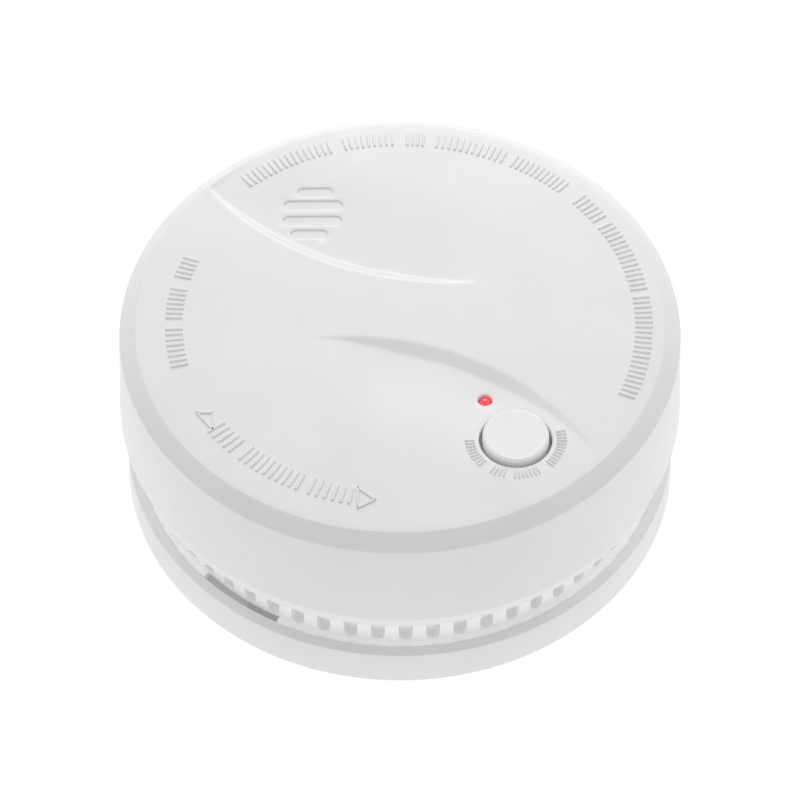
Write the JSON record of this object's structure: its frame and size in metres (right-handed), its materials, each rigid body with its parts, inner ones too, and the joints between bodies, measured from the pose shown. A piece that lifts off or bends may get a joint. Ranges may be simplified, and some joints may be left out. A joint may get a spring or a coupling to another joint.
{
  "type": "smoke detector",
  "caption": "Round white battery smoke alarm on a twist-lock ceiling bracket, with a vented band, test button, red lamp, horn and smoke chamber.",
  "frame": {"origin": "centre of the mounting bracket's flat back, which lies on the ceiling", "axes": "+Z out of the ceiling through the alarm's face; the test button is on the -Y, +X side; the grille is on the +Y, -X side"},
  "size_m": [0.1028, 0.1028, 0.0411],
  "materials": {
    "cover_white": "satin",
    "bracket_white": "satin",
    "button_white": "satin",
    "seal_grey": "matte",
    "led_red": "gloss",
    "board_green": "satin",
    "chip_black": "matte",
    "chamber_black": "matte",
    "connector_black": "matte",
    "lens_clear": "gloss",
    "lens_dark": "gloss",
    "capacitor_sleeve": "gloss",
    "resistor_tan": "satin",
    "battery_jacket": "satin",
    "lead_red": "satin",
    "lead_black": "satin",
    "steel": "satin",
    "plated_steel": "polished",
    "brass": "satin",
    "ceramic_white": "matte"
  },
  "bodies": {
    "bracket": {"mounting_bracket": "bracket_white"},
    "seal": {"draught_seal": "seal_grey"},
    "alarm": {"front_cover": "cover_white", "rear_housing": "cover_white", "door_hinge_pin": "steel", "battery_case": "battery_jacket", "battery_terminal_positive": "plated_steel", "battery_terminal_negative": "plated_steel", "snap_connector": "connector_black", "battery_lead_red": "lead_red", "battery_lead_black": "lead_black", "main_pcb": "board_green", "controller_chip": "chip_black", "horn_driver_chip": "chip_black", "supply_capacitor": "capacitor_sleeve", "filter_capacitor": "capacitor_sleeve", "horn_inductor": "chip_black", "resistor_1": "resistor_tan", "resistor_2": "resistor_tan", "resistor_3": "resistor_tan", "status_led": "led_red", "led_light_pipe": "led_red", "test_switch_body": "chip_black", "chamber_base": "chamber_black", "chamber_cap": "chamber_black", "insect_screen": "steel", "ir_emitter": "lens_clear", "photodiode": "lens_dark", "horn_resonator": "chamber_black", "horn_disc": "brass", "horn_ceramic": "ceramic_white", "horn_contact_1": "plated_steel", "horn_contact_2": "plated_steel", "horn_contact_3": "plated_steel", "housing_screw_1": "steel", "housing_screw_2": "steel", "housing_screw_3": "steel", "board_screw_1": "steel", "board_screw_2": "steel"},
    "button": {"test_button": "button_white"},
    "plunger": {"test_switch_plunger": "chip_black"},
    "battery_door": {"battery_door": "cover_white"}
  },
  "joints": [
    {"name": "lift_off", "type": "slide", "parent": "bracket", "child": "seal", "axis": [0, 0, 1], "range_m": [0, 0.06]},
    {"name": "twist", "type": "hinge", "parent": "seal", "child": "alarm", "pos_m": [0, 0, 0], "axis": [0, 0, 1], "range_deg": [-15, 0]},
    {"name": "button_press", "type": "slide", "parent": "alarm", "child": "button", "axis": [0, 0, -1], "range_m": [0, 0.0009], "stiffness_N_per_m": 400},
    {"name": "plunger_press", "type": "slide", "parent": "alarm", "child": "plunger", "axis": [0, 0, -1], "range_m": [0, 0.0003]},
    {"name": "door_swing", "type": "hinge", "parent": "alarm", "child": "battery_door", "pos_m": [0, 0.0042, 0.003], "axis": [1, 0, 0], "range_deg": [0, 95]}
  ],
  "couplings": [
    {"joint": "plunger_press", "follows": "button_press", "ratio": 0.3}
  ]
}
